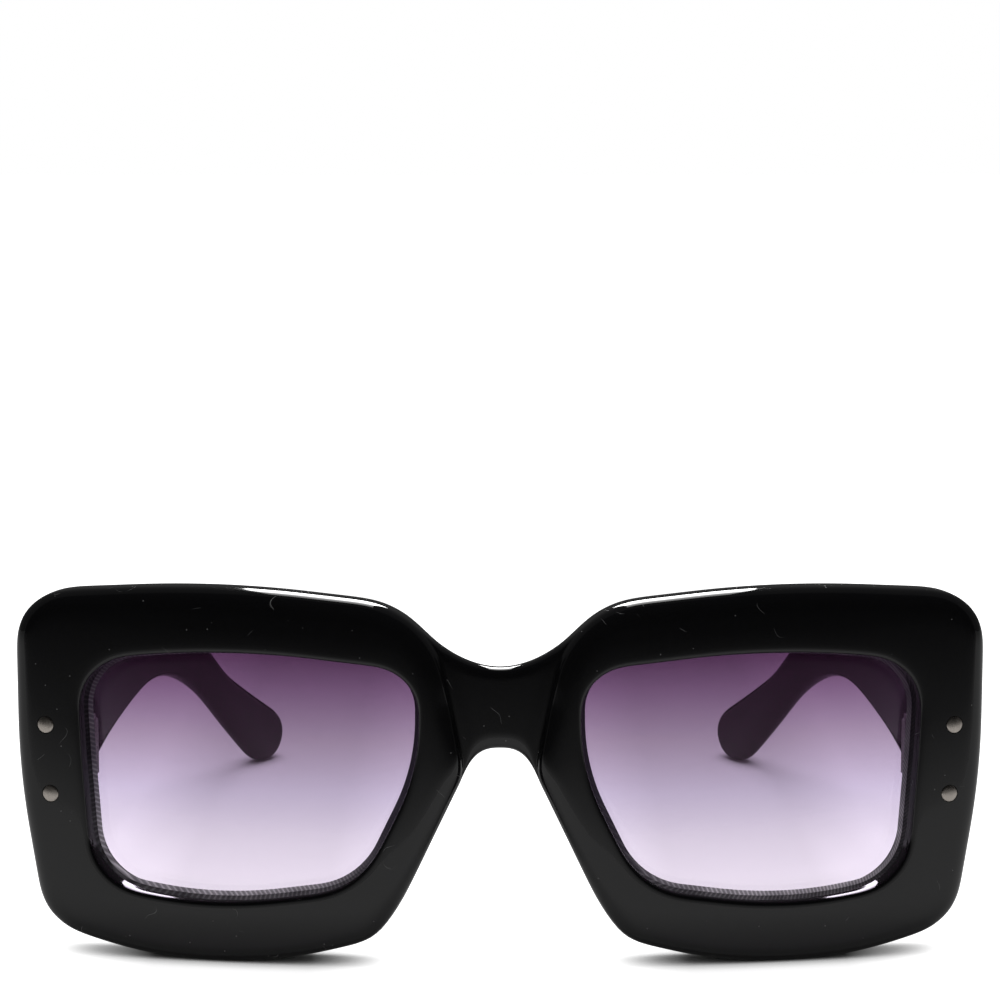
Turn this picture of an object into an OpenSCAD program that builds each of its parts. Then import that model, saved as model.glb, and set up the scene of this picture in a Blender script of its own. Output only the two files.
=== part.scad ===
// Oversized sunglasses that stand open on a table, in millimetres.
// +X is to the viewer's right, the front looks along -Y, and z = 0 is the table.
// The origin is the middle of the whole pair's footprint. Left and right are the wearer's.

/* [Lenses] */
// Width of one lens opening
lens_w = 51.3; // [49:0.1:54]
// Height of one lens opening
lens_h = 38.35; // [37:0.05:40]
// Gap between the two lens openings
lens_gap = 24.9; // [23:0.1:26]
// Thickness of a lens
lens_t = 2; // [1.6:0.1:2.4]
// Depth of a lens behind the front face
lens_inset = 4.2; // [3.6:0.1:4.4]
// How far a lens reaches into its groove
lens_bite = 0.7; // [0.5:0.05:0.9]

/* [Front] */
// Radius of the front face, seen from above
front_r = 284; // [240:1:400]
// Thickness of the rims
rim_t = 7.2; // [7:0.1:8]
// Height of a rim above its lens opening
rim_above = 10.15; // [8:0.05:11]
// Height of a rim below its lens opening
rim_below = 9.6; // [8.5:0.1:11]
// Width of a rim outside its lens opening
rim_side = 10.75; // [10.4:0.05:12]
// Width of a rim between its lens opening and the bridge
rim_nose = 7.15; // [6:0.05:7.5]
// Rounding of the rims' outer edge at the front
edge_r = 2.2; // [1.6:0.1:2.6]
// Rounding of the rims' outer edge at the back
back_r = 1.5; // [1:0.1:1.8]
// Rounding of the lens opening's front edge
mouth_r = 0.5; // [0.3:0.1:0.8]
// Height of the flat that each rim stands on
foot_cut = 0.12; // [0.05:0.01:0.3]

/* [Bridge and nose pads] */
// Height of the bridge's underside at its middle
bridge_z = 33.35; // [32:0.05:36]
// Height of the bridge at its middle
bridge_h = 12.3; // [10:0.1:13]
// Depth of the bridge's front face behind the rims' front face
bridge_set = 2.5; // [2.2:0.1:3]
// Depth of the bridge's back face behind the rims' front face
bridge_back = 6.2; // [5.9:0.1:6.6]
// Rounding of the bridge's upper and lower edges
bridge_r = 1.2; // [0.8:0.1:1.5]
// Length of the soft step between the bridge and a rim
bridge_blend = 2.4; // [1.5:0.1:3]
// How far a nose pad stands out behind its rim
pad_out = 7.5; // [5:0.1:8.5]
// Height of a nose pad's middle
pad_z = 18; // [16:0.1:20]
// Height of a nose pad, from end to end
pad_h = 23; // [18:0.1:24]
// How far a nose pad's ridge leans towards its lens
pad_lean = 2.6; // [1:0.1:3]

/* [Temples] */
// How far a temple's outer face sits inside a rim's outer side
temple_inset = 4.5; // [3.9:0.1:5]
// Thickness of a temple
temple_t = 4.2; // [4:0.1:4.6]
// Radius of a temple's outer face, seen from above
temple_r = 262; // [250:1:274]
// Angle by which a temple starts outwards, in degrees
temple_splay = 4; // [3:0.1:5]
// Gap between an open temple and the front
seam = 0.2; // [0.12:0.01:0.3]
// Height of a temple's lower edge at the front
root_low = 17.8; // [17:0.1:19]
// Height of a temple's upper edge at the front
root_high = 42.4; // [41:0.1:43.5]
// Distance from a temple's front end to the bend of its lower edge
bend_reach = 85.3; // [84:0.1:87]
// Height of the bend of its lower edge
bend_low = 29.1; // [28.5:0.1:29.7]
// Height of the bend of its upper edge
bend_high = 38; // [37.5:0.1:38.6]
// Rounding of the bend of its lower edge
bend_low_r = 46; // [40:0.5:50]
// Rounding of the bend of its upper edge
bend_high_r = 45; // [38:0.5:48]
// Angle by which the tail drops, in degrees
tail_drop = 39.4; // [38.6:0.1:40.2]
// Width of the tail at its neck
neck_w = 6.8; // [6.4:0.1:7.4]
// Length of the swell from the neck to the round tip
tip_swell = 23; // [21:0.5:24]
// Radius of the round tip
tip_r = 5.2; // [4.9:0.1:5.6]

/* [Hinges] */
// Height of the hinges' middle
hinge_z = 30.4; // [29.5:0.1:31.5]
// Distance of the hinge axis behind the front's back face
hinge_back = 3.5; // [3.2:0.1:3.8]
// Radius of a knuckle
knuckle_r = 1.5; // [1.4:0.05:1.6]
// Height of one knuckle
knuckle_h = 1.7; // [1.5:0.05:2]
// Number of knuckles in a hinge
knuckles = 5; // [3:2:5]
// Gap between two knuckles
knuckle_gap = 0.06; // [0.04:0.01:0.12]
// Thickness of the leaves
leaf_t = 1; // [0.8:0.05:1.1]
// Width of the leaf on the front
front_leaf_w = 7.4; // [7:0.1:7.8]
// Height of the leaf on the front
front_leaf_h = 14.8; // [14:0.1:16]
// Length of the leaf on a temple, behind the hinge axis
temple_leaf_l = 14.4; // [13.8:0.1:16]
// Height of the leaf on a temple
temple_leaf_h = 7.6; // [6.6:0.1:9]
// Diameter of a hinge screw
screw_d = 1.4; // [1.2:0.05:1.5]
// Diameter of its head
screw_head_d = 2.4; // [2.2:0.1:2.8]
// Height of its head
screw_head_h = 0.8; // [0.6:0.05:1]

/* [Rivets] */
// Diameter of a rivet's head
rivet_head_d = 2.6; // [2.3:0.1:2.8]
// Thickness of a rivet's head
rivet_head_t = 0.7; // [0.5:0.05:0.9]
// Height of the head's dome
rivet_dome = 0.22; // [0.15:0.01:0.35]
// Diameter of a rivet's shank
rivet_d = 1.4; // [1.2:0.05:1.5]
// How far the front rivets sit inside a rim's outer side
front_rivet_inset = 5.1; // [4.7:0.1:5.5]
// Distance between the two rivets on one side of the front
front_rivet_gap = 10.7; // [9.5:0.1:11.2]
// Height of the middle between them
front_rivet_z = 30.5; // [30:0.1:31]
// How far the upper one sits further out than the lower one
front_rivet_lean = 0.6; // [0:0.05:0.8]
// Distance from a temple's front end to the middle of its rivets
temple_rivet_reach = 11.9; // [11.2:0.1:12.4]
// Distance between the two rivets on one temple
temple_rivet_gap = 5.3; // [4.6:0.1:5.8]
// Height of the rivets on the temples
temple_rivet_z = 29.8; // [29.4:0.1:31.2]

/* [Core wires] */
// Diameter of the steel core in a temple
core_d = 1.3; // [1:0.05:1.5]
// Distance from a temple's front end to its core
core_start = 20; // [18:0.5:24]
// Distance from the core's end to the middle of the round tip
core_stop = 8; // [6:0.5:14]

/* [Hidden] */

// Running clearance of the hinge screws, and of the rivets in their holes
fit = 0.03;
// Clearance round a lens in its groove, and round a core wire
play = 0.08;
// Gap between a knuckle and the temple beside it
leaf_clear = 0.25;
// Overrun of cuts
over = 1;
// Rounding of the opening's back edge, and how far it stands out from the opening's wall
lip_r = 0.3;
lip_in = 0.1;
// Rounding of a temple's corners at the front
root_r = 0.6;
// Width of the webs that carry the knuckles, and how much lower they are than a knuckle
web_w = 1.8;
web_low = 0.2;
// How far the middle of the leaf on the front sits inside its rivets
leaf_shift = 0.6;
// Width of a nose pad's ridge
pad_ridge = 1.4;
// Screw slot
slot_w = 0.45;
slot_d = 0.4;

rim_h = rim_below + lens_h + rim_above;
rim_w = rim_nose + lens_w + rim_side;
rim_x = lens_gap / 2 - rim_nose;
temple_x = rim_x + rim_w - temple_inset;
front_rivet_x = rim_x + rim_w - front_rivet_inset;
groove_front = lens_inset;
groove_back = lens_inset + lens_t + 2 * play;

// Corners of the rim's outline, seen from the front: shares of its width, height and, for the
// rounding, its height. They run from the bottom outwards, up, and back down past the nose.
rim_shares = [
    [0.56, -0.043, 1.19], [0.9465, 0.0735, 0.155], [1.001, 0.478, 1.89], [1.001, 0.964, 0.142],
    [0.545, 1.003, 2.75], [0.075, 0.947, 0.252], [-0.002, 0.517, 0.138], [0.1765, 0.071, 0.165]
];
// Corners of the lens opening, as shares of its width, height and height
lens_shares = [
    [0.61, -0.025, 1.7], [0.967, 0.051, 0.235], [0.993, 0.545, 1.53], [1.006, 0.949, 0.225],
    [0.562, 1.02, 3.1], [-0.004, 0.94, 0.185], [-0.002, 0.539, 0.814], [0.172, 0.061, 0.33]
];
// Steps of each corner's arc, and points on the straight stretch after it
arc_steps = [6, 7, 3, 7, 5, 7, 5, 6];
side_steps = [1, 1, 1, 1, 1, 3, 6, 1];
// The order of the corner above the bridge and of the one at the nose, counted from 0
shoulder_order = 5;
nose_order = 6;
// Steps of the first one's arc that lie above the bridge
shoulder_steps = 4;

// Plane geometry
function unit(v) = v / norm(v);
function turned(v, a) = [v.x * cos(a) - v.y * sin(a), v.x * sin(a) + v.y * cos(a)];
function mix(a, b, t) = a + (b - a) * t;

// The arc of radius r that rounds the corner b between a and c
function arc(a, b, c, r, steps) =
    let (
        u = unit(a - b), v = unit(c - b),
        half = acos(u * v) / 2,
        reach = r / tan(half),
        centre = b + unit(u + v) * r / sin(half),
        start = b + u * reach - centre,
        side = sign(cross(start, b + v * reach - centre))
    )
    [for (k = [0:steps]) centre + turned(start, side * (180 - 2 * half) * k / steps)];

// A closed outline through rounded corners, each a row of place and radius
function rounded(corners, steps, sides) =
    let (
        n = len(corners),
        place = [for (c = corners) [c.x, c.y]],
        arcs = [for (i = [0:n - 1])
            arc(place[(i + n - 1) % n], place[i], place[(i + 1) % n], corners[i].z, steps[i])]
    )
    [for (i = [0:n - 1]) each concat(
        arcs[i],
        [for (k = [1:1:sides[i]]) mix(arcs[i][steps[i]], arcs[(i + 1) % n][0], k / (sides[i] + 1))]
    )];

function scaled_corners(shares, x, z, w, h) = [for (s = shares) [x + s.x * w, z + s.y * h, s.z * h]];
function total(list, count) = count == 0 ? 0 : list[count - 1] + total(list, count - 1);
// Number of the first outline point of a corner's arc
function first_point(corner) = total(arc_steps, corner) + total(side_steps, corner) + corner;

// Outlines of the left rim, which is the one at +X, with the same number of points each
rim_line = rounded(
    scaled_corners(rim_shares, rim_x, -foot_cut, rim_w, rim_h + foot_cut), arc_steps, side_steps
);
lens_line = rounded(
    scaled_corners(lens_shares, lens_gap / 2, rim_below, lens_w, lens_h), arc_steps, side_steps
);
points = len(rim_line);

// The front is a slice of a shell that stands upright round an axis behind the wearer.
// A point at x and z on its face, taken to a depth below the face:
function on_front(x, z, depth) =
    let (a = asin(x / front_r))
    [(front_r - depth) * sin(a), front_r - (front_r - depth) * cos(a), z];
function back_y(x) = front_r - sqrt((front_r - rim_t) ^ 2 - x ^ 2);

// The bridge joins the rim's outline from the shoulder's arc down to the end of the nose's arc
bridge_from = first_point(shoulder_order) + shoulder_steps;
bridge_to = first_point(nose_order) + arc_steps[nose_order];

// How much of a nose pad stands behind an outline point, from 0 to 1
function pad_share(i) =
    let (off = abs(rim_line[i].y - pad_z) / (pad_h / 2))
    i <= bridge_to || off >= 1 ? 0 : cos(90 * off) ^ 2;

// The rim's section, as rows of distance and depth. The first rows are measured outwards from
// the lens opening, the others inwards from the outline, and the last value is the pad's share.
inner_rows = [
    [lip_in + lip_r, rim_t, 0.1], [lip_in, rim_t - lip_r, 0], [lip_in, groove_back, 0],
    [lens_bite, groove_back, 0], [lens_bite, groove_front, 0], [0, groove_front, 0],
    [0, mouth_r, 0], [mouth_r * (1 - sin(45)), mouth_r * (1 - sin(45)), 0], [mouth_r, 0, 0]
];
outer_rows = [
    [edge_r, 0, 0],
    [edge_r * (1 - sin(30)), edge_r * (1 - cos(30)), 0],
    [edge_r * (1 - sin(60)), edge_r * (1 - cos(60)), 0],
    [0, edge_r, 0], [0, (edge_r + rim_t - back_r) / 2, 0.5], [0, rim_t - back_r, 1],
    [back_r * (1 - cos(45)), rim_t - back_r * (1 - sin(45)), 1.06], [back_r, rim_t, 1.08],
    [back_r + pad_ridge, rim_t, 0.98], [back_r + 2 * pad_ridge, rim_t, 0.62]
];
rows = len(inner_rows) + len(outer_rows);
wall_front = len(inner_rows) + 3;
wall_mid = wall_front + 1;
wall_back = wall_front + 2;

function rim_point(i, row) =
    let (
        outward = unit(rim_line[i] - lens_line[i]),
        inner = row < len(inner_rows),
        r = inner ? inner_rows[row] : outer_rows[row - len(inner_rows)],
        pad = pad_share(i) * r.z,
        p = inner ? lens_line[i] + outward * r.x : rim_line[i] - outward * (r.x + pad_lean * pad)
    )
    on_front(p.x, p.y, r.y + pad_out * pad);

// The bridge, as columns from the left rim to the right one
bridge_shares = [1, 0.88, 0.74, 0.58, 0.36, 0.12, -0.12, -0.36, -0.58, -0.74, -0.88, -1];
columns = len(bridge_shares);
function bridge_top(x) =
    mix(bridge_z + bridge_h, rim_line[bridge_from].y, (x / rim_line[bridge_from].x) ^ 2);
function bridge_low(x) = mix(bridge_z, rim_line[bridge_to].y, abs(x / rim_line[bridge_to].x) ^ 3);
// How far an edge's rounding of radius r sinks the face at a distance from that edge
function round_off(r, distance) = distance >= r ? 0 : r - sqrt(r ^ 2 - (r - max(distance, 0)) ^ 2);

// face is 1 on the front of the bridge and -1 on its back
function bridge_point(i, column, face) =
    let (
        p = rim_line[i],
        share = (p.y - bridge_low(p.x)) / (bridge_top(p.x) - bridge_low(p.x)),
        x = p.x * bridge_shares[column],
        z = mix(bridge_low(x), bridge_top(x), share),
        blend = sin(90 * min((p.x - abs(x)) / bridge_blend, 1)) ^ 2,
        sunk = round_off(bridge_r, bridge_top(x) - z) + round_off(bridge_r, z - bridge_low(x)),
        from = face > 0 ? edge_r : rim_t - back_r,
        to = face > 0 ? bridge_set : bridge_back
    )
    on_front(x, z, from + (to - from + face * sunk) * blend);

function mirrored(p) = [-p.x, p.y, p.z];
// Two triangles of a strip, between a line of points and the next one
function strip(a, b, c, d) = [[a, b, c], [a, c, d]];

module front_shell() {
    last = rows - 1;
    left_points = [for (i = [0:points - 1]) for (row = [0:last]) rim_point(i, row)];
    right_points = [for (p = left_points) mirrored(p)];
    zone = bridge_to - bridge_from + 1;
    inside = columns - 2;
    face_points = [for (face = [1, -1]) for (i = [bridge_from:bridge_to]) for (c = [1:inside])
        bridge_point(i, c, face)];
    edge_points = [for (i = [bridge_from, bridge_to]) for (c = [1:inside])
        (bridge_point(i, c, 1) + bridge_point(i, c, -1)) / 2];
    faces_from = 2 * points * rows;
    edges_from = faces_from + 2 * zone * inside;
    // Number of a point of the rims, on the front or back of the bridge, and on its edges
    function rim_id(side, i, row) = side * points * rows + (i % points) * rows + row;
    function face_id(back, i, c) =
        c == 0 || c == columns - 1 ? rim_id(c == 0 ? 0 : 1, i, back == 1 ? wall_back : wall_front)
        : faces_from + (back * zone + i - bridge_from) * inside + c - 1;
    function edge_id(low, c) =
        c == 0 || c == columns - 1 ? rim_id(c == 0 ? 0 : 1, low == 1 ? bridge_to : bridge_from, wall_mid)
        : edges_from + low * inside + c - 1;
    function open(i, row) = i >= bridge_from && i < bridge_to && row >= wall_front && row < wall_back;
    rim_faces = [for (side = [0, 1]) for (i = [0:points - 1]) for (row = [0:last]) if (!open(i, row))
        each side == 0
            ? strip(rim_id(0, i, row), rim_id(0, i + 1, row),
                rim_id(0, i + 1, (row + 1) % rows), rim_id(0, i, (row + 1) % rows))
            : strip(rim_id(1, i, row), rim_id(1, i, (row + 1) % rows),
                rim_id(1, i + 1, (row + 1) % rows), rim_id(1, i + 1, row))];
    bridge_faces = [for (i = [bridge_from:bridge_to - 1]) for (c = [0:columns - 2]) each concat(
        strip(face_id(0, i, c), face_id(0, i + 1, c), face_id(0, i + 1, c + 1), face_id(0, i, c + 1)),
        strip(face_id(1, i, c), face_id(1, i, c + 1), face_id(1, i + 1, c + 1), face_id(1, i + 1, c)))];
    edge_faces = [for (c = [0:columns - 2]) each concat(
        strip(face_id(0, bridge_from, c), face_id(0, bridge_from, c + 1), edge_id(0, c + 1), edge_id(0, c)),
        strip(edge_id(0, c), edge_id(0, c + 1), face_id(1, bridge_from, c + 1), face_id(1, bridge_from, c)),
        strip(face_id(0, bridge_to, c), edge_id(1, c), edge_id(1, c + 1), face_id(0, bridge_to, c + 1)),
        strip(edge_id(1, c), face_id(1, bridge_to, c), face_id(1, bridge_to, c + 1), edge_id(1, c + 1)))];
    polyhedron(
        points = concat(left_points, right_points, face_points, edge_points),
        faces = concat(rim_faces, bridge_faces, edge_faces)
    );
}

// Places on the front and on the left temple. In each, the axes are turned with the surface.
module at_front(x) {
    translate([0, front_r, 0])
        rotate([0, 0, asin(x / front_r)])
            translate([0, -front_r, 0])
                children();
}
module at_temple(reach) {
    translate([arc_x, arc_y, 0])
        rotate([0, 0, reach_angle(reach)])
            translate([temple_r, 0, 0])
                children();
}
// Left and right, and the shift that brings the footprint's middle to the origin
module placed() {
    translate([0, -middle_y, 0])
        children();
}
module on_right() {
    mirror([1, 0, 0])
        children();
}

root_y = back_y(temple_x) + seam;
arc_x = temple_x - temple_r * cos(temple_splay);
arc_y = root_y + temple_r * sin(temple_splay);
function reach_angle(reach) = reach / temple_r * 180 / PI - temple_splay;

// The hinge axis of the left temple, and the same axis seen from the two leaves
hinge_x = temple_x - temple_t * cos(temple_splay) - knuckle_r - leaf_clear;
hinge_y = back_y(hinge_x) + hinge_back;
front_angle = asin(front_rivet_x / front_r);
hinge_from_front = turned([hinge_x, hinge_y - front_r], -front_angle) + [0, front_r];
hinge_from_temple =
    turned([hinge_x - arc_x, hinge_y - arc_y], -reach_angle(temple_rivet_reach)) - [temple_r, 0];
knuckles_low = hinge_z - knuckles * knuckle_h / 2;
web_h = knuckle_h - knuckle_gap - web_low;

// Outline of a temple, seen from the side: y from its front end, z, and rounding
tail = [cos(tail_drop), -sin(tail_drop)];
tail_up = [sin(tail_drop), cos(tail_drop)];
bend_low_at = [bend_reach, bend_low];
function corner(place, r) = [place.x, place.y, r];
// Roundings of the tip's corners, and where its upper edge ends, as shares of its radius
tip_round_share = 0.97;
tip_flat_share = 0.25;
// The tail's lower edge starts at the bend and runs along the tip, which stands at z = 0
tip_z = tip_r * mix(tail_up.y - tail.y, 1, tip_round_share);
tip_run = (bend_low - tip_z + tip_r * tail_up.y) / -tail.y;
tip_at = bend_low_at + tail * tip_run + tail_up * tip_r;
neck_at = tip_at - tail * tip_swell + tail_up * (neck_w - tip_r);
neck_run = (neck_at.y - bend_high) / tail.y;
bend_high_at = neck_at - tail * neck_run;
temple_corners = [
    [-over, root_low, root_r],
    corner(bend_low_at, bend_low_r),
    corner(tip_at + tail * tip_r - tail_up * tip_r, tip_r * tip_round_share),
    corner(tip_at + tail * tip_r + tail_up * tip_r, tip_r * tip_round_share),
    corner(tip_at - tail * tip_r * tip_flat_share + tail_up * tip_r, tip_r),
    corner(neck_at, tip_swell),
    corner(bend_high_at, bend_high_r),
    [-over, root_high, root_r]
];
temple_steps = [2, 8, 8, 8, 4, 4, 10, 2];
temple_sides = [for (c = temple_corners) 0];
temple_line = rounded(temple_corners, temple_steps, temple_sides);

// The footprint runs from the rims' front face to the tips
middle_y = (on_front(rim_x, 0, 0).y + root_y + max([for (p = temple_line) p.x])) / 2;

// Path of a core wire along the middle of the temple: y from the temple's front end, and z
core_from = [core_start, hinge_z];
core_corner = mix(bend_low_at, bend_high_at, 0.5);
core_to = tip_at - tail * core_stop;
core_steps = 8;
core_sides = 8;
core_bend = arc(core_from, core_corner, core_to, bend_low_r + neck_w / 2, core_steps);
core_path = concat(
    [for (k = [0:core_steps - 1]) mix(core_from, core_bend[0], k / core_steps)],
    core_bend,
    [for (k = [1:core_steps]) mix(core_bend[core_steps], core_to, k / core_steps)]
);

// A point of a temple at y from its front end, at z, and at a depth below its outer face
function on_temple(y, z, depth) =
    [arc_x + sqrt((temple_r - depth) ^ 2 - (root_y + y - arc_y) ^ 2), root_y + y, z];

module core_tube(r) {
    way = [for (p = core_path) on_temple(p.x, p.y, temple_t / 2)];
    n = len(way);
    rings = [for (i = [0:n - 1])
        let (
            along = unit(way[min(i + 1, n - 1)] - way[max(i - 1, 0)]),
            across = unit([way[i].x - arc_x, way[i].y - arc_y, 0]),
            up = unit(cross(along, across)),
            side = cross(up, along)
        )
        for (k = [0:core_sides - 1])
            way[i] + r * (cos(360 * k / core_sides) * side + sin(360 * k / core_sides) * up)];
    function id(i, k) = i * core_sides + k % core_sides;
    walls = [for (i = [0:n - 2]) for (k = [0:core_sides - 1])
        each strip(id(i, k), id(i + 1, k), id(i + 1, k + 1), id(i, k + 1))];
    ends = [for (k = [1:core_sides - 2])
        each [[0, k, k + 1], [id(n - 1, 0), id(n - 1, k + 1), id(n - 1, k)]]];
    polyhedron(points = rings, faces = concat(walls, ends));
}

// A rivet along +Y with its head at y = 0. Its hole has the same sizes and a clearance.
module rivet(depth, clear = 0) {
    head_r = rivet_head_d / 2 + clear;
    ball_r = ((rivet_head_d / 2) ^ 2 + rivet_dome ^ 2) / (2 * rivet_dome);
    rotate([-90, 0, 0]) {
        cylinder(r = head_r, h = rivet_head_t + clear, $fn = 48);
        cylinder(r = rivet_d / 2 + clear, h = depth, $fn = 36);
    }
    if (clear == 0)
        rotate([-90, 0, 0])
            intersection() {
                translate([0, 0, ball_r - rivet_dome])
                    sphere(r = ball_r, $fn = 96);
                translate([0, 0, -rivet_dome])
                    cylinder(r = head_r, h = rivet_dome, $fn = 48);
            }
    if (clear > 0)
        rotate([90, 0, 0])
            cylinder(r = head_r, h = over, $fn = 48);
}

// The two rivet places on the front: level is 1 for the upper one and -1 for the lower one
module at_front_rivet(level) {
    at_front(front_rivet_x)
        translate([level * front_rivet_lean / 2, 0, front_rivet_z + level * front_rivet_gap / 2])
            children();
}
// The two rivet places on a temple: order is -1 for the front one and 1 for the rear one
module at_temple_rivet(order) {
    at_temple(temple_rivet_reach)
        translate([0, order * temple_rivet_gap / 2, temple_rivet_z])
            rotate([0, 0, 90])
                children();
}

// One lens, as a curved plate whose edge lies in the groove
module lens_plate() {
    line = [for (i = [0:points - 1]) lens_line[i] + unit(rim_line[i] - lens_line[i]) * (lens_bite - play)];
    middle = [lens_gap / 2 + lens_w / 2, rim_below + lens_h / 2];
    ring_shares = [1, 0.8, 0.55, 0.3];
    rings = len(ring_shares);
    depths = [groove_front + play, groove_front + play + lens_t];
    side_points = [for (d = depths) each concat(
        [for (s = ring_shares) for (p = line) on_front(mix(middle, p, s).x, mix(middle, p, s).y, d)],
        [on_front(middle.x, middle.y, d)])];
    count = rings * points + 1;
    function id(back, ring, i) = back * count + (ring < rings ? ring * points + i % points : rings * points);
    faces = [for (i = [0:points - 1]) each concat(
        [for (ring = [0:rings - 2]) each concat(
            strip(id(0, ring, i), id(0, ring + 1, i), id(0, ring + 1, i + 1), id(0, ring, i + 1)),
            strip(id(1, ring, i), id(1, ring, i + 1), id(1, ring + 1, i + 1), id(1, ring + 1, i)))],
        [[id(0, rings - 1, i), id(0, rings, 0), id(0, rings - 1, i + 1)],
         [id(1, rings - 1, i), id(1, rings - 1, i + 1), id(1, rings, 0)]],
        strip(id(0, 0, i), id(0, 0, i + 1), id(1, 0, i + 1), id(1, 0, i)))];
    polyhedron(points = side_points, faces = faces);
}

// The flat part of the leaf on the front. Its pocket has the same sizes and a clearance.
module front_leaf_plate(clear = 0) {
    low = [-front_leaf_w / 2 - leaf_shift, rim_t - leaf_t, hinge_z - front_leaf_h / 2];
    deep = clear > 0 ? over : 0;
    translate([for (v = low) v - clear])
        cube([front_leaf_w + 2 * clear, leaf_t + clear + deep, front_leaf_h + 2 * clear]);
}

module front_frame() {
    color([0.05, 0.05, 0.055])
        placed()
            difference() {
                front_shell();
                for (side = [0, 1])
                    mirror([side, 0, 0]) {
                        at_front(front_rivet_x)
                            front_leaf_plate(fit);
                        for (level = [-1, 1])
                            at_front_rivet(level)
                                rivet(rim_t + over, fit);
                    }
                translate([-front_r, -over, -over])
                    cube([2 * front_r, front_r, over]);
            }
}

module lens() {
    color([0.42, 0.33, 0.47, 0.7])
        placed()
            lens_plate();
}

module front_leaf() {
    top = knuckles - 1;
    web_from = rim_t - leaf_t / 2;
    color([0.72, 0.71, 0.69])
        placed()
            difference() {
                union() {
                    at_front(front_rivet_x) {
                        front_leaf_plate();
                        for (k = [0:2:top])
                            translate([hinge_from_front.x - web_w / 2, web_from, knuckle_z(k) + web_low / 2])
                                cube([web_w, hinge_from_front.y - web_from, web_h]);
                    }
                    for (k = [0:2:top])
                        knuckle(k);
                }
                screw_hole();
                for (level = [-1, 1])
                    at_front_rivet(level)
                        rivet(rim_t + over, fit);
            }
}

function knuckle_z(k) = knuckles_low + k * knuckle_h + knuckle_gap / 2;
module knuckle(k) {
    translate([hinge_x, hinge_y, knuckle_z(k)])
        cylinder(r = knuckle_r, h = knuckle_h - knuckle_gap, $fn = 64);
}
module screw_hole() {
    translate([hinge_x, hinge_y, knuckles_low - over])
        cylinder(r = screw_d / 2 + fit, h = knuckles * knuckle_h + 2 * over, $fn = 48);
}

module temple_leaf() {
    plate_from = hinge_from_temple.y - web_w / 2;
    top = knuckles - 2;
    color([0.72, 0.71, 0.69])
        placed()
            difference() {
                union() {
                    at_temple(temple_rivet_reach) {
                        translate([-temple_t, plate_from, temple_rivet_z - temple_leaf_h / 2])
                            cube([leaf_t, temple_leaf_l, temple_leaf_h]);
                        for (k = [1:2:top])
                            translate([hinge_from_temple.x, plate_from, knuckle_z(k) + web_low / 2])
                                cube([leaf_t / 2 - temple_t - hinge_from_temple.x, web_w, web_h]);
                    }
                    for (k = [1:2:top])
                        knuckle(k);
                }
                screw_hole();
                for (order = [-1, 1])
                    at_temple_rivet(order)
                        rivet(temple_t + over, fit);
            }
}

module hinge_screw() {
    low = knuckle_z(0);
    high = knuckle_z(knuckles - 1) + knuckle_h - knuckle_gap;
    color([0.78, 0.77, 0.75])
        placed()
            translate([hinge_x, hinge_y, 0])
                difference() {
                    union() {
                        translate([0, 0, low])
                            cylinder(r = screw_d / 2, h = high - low + screw_head_h / 2, $fn = 48);
                        translate([0, 0, high])
                            cylinder(r = screw_head_d / 2, h = screw_head_h, $fn = 48);
                    }
                    translate([-screw_head_d, -slot_w / 2, high + screw_head_h - slot_d])
                        cube([2 * screw_head_d, slot_w, slot_d + over]);
                }
}

module front_rivet(level) {
    color([0.8, 0.79, 0.77])
        placed()
            at_front_rivet(level)
                rivet(rim_t);
}

module temple_rivet(order) {
    color([0.8, 0.79, 0.77])
        placed()
            at_temple_rivet(order)
                rivet(temple_t);
}

module temple() {
    color([0.05, 0.05, 0.055])
        placed()
            difference() {
                intersection() {
                    translate([arc_x, arc_y, -over])
                        cylinder(r = temple_r, h = rim_h, $fn = 256);
                    translate([0, root_y, 0])
                        rotate([90, 0, 90])
                            linear_extrude(2 * temple_x)
                                polygon(temple_line);
                    translate([0, front_r, -over])
                        cylinder(r = front_r - rim_t - seam, h = rim_h, $fn = 256);
                }
                translate([arc_x, arc_y, -2 * over])
                    cylinder(r = temple_r - temple_t, h = rim_h + 2 * over, $fn = 256);
                at_temple(temple_rivet_reach)
                    translate([
                        -temple_t - over,
                        hinge_from_temple.y - web_w / 2 - fit,
                        temple_rivet_z - temple_leaf_h / 2 - fit
                    ])
                        cube([leaf_t + over + fit, temple_leaf_l + 2 * fit, temple_leaf_h + 2 * fit]);
                for (order = [-1, 1])
                    at_temple_rivet(order)
                        rivet(temple_t + over, fit);
                core_tube(core_d / 2 + play);
            }
}

module core_wire() {
    color([0.6, 0.6, 0.62])
        placed()
            core_tube(core_d / 2);
}

front_frame();
lens();  // lens_left
on_right() lens();  // lens_right
front_leaf();  // front_leaf_left
on_right() front_leaf();  // front_leaf_right
temple_leaf();  // temple_leaf_left
on_right() temple_leaf();  // temple_leaf_right
hinge_screw();  // hinge_screw_left
on_right() hinge_screw();  // hinge_screw_right
front_rivet(1);  // front_rivet_upper_left
front_rivet(-1);  // front_rivet_lower_left
on_right() front_rivet(1);  // front_rivet_upper_right
on_right() front_rivet(-1);  // front_rivet_lower_right
temple_rivet(-1);  // temple_rivet_front_left
temple_rivet(1);  // temple_rivet_rear_left
on_right() temple_rivet(-1);  // temple_rivet_front_right
on_right() temple_rivet(1);  // temple_rivet_rear_right
temple();  // temple_left
on_right() temple();  // temple_right
core_wire();  // core_wire_left
on_right() core_wire();  // core_wire_right
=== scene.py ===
import math

import bmesh
import bpy
from mathutils import Matrix, Vector

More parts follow.
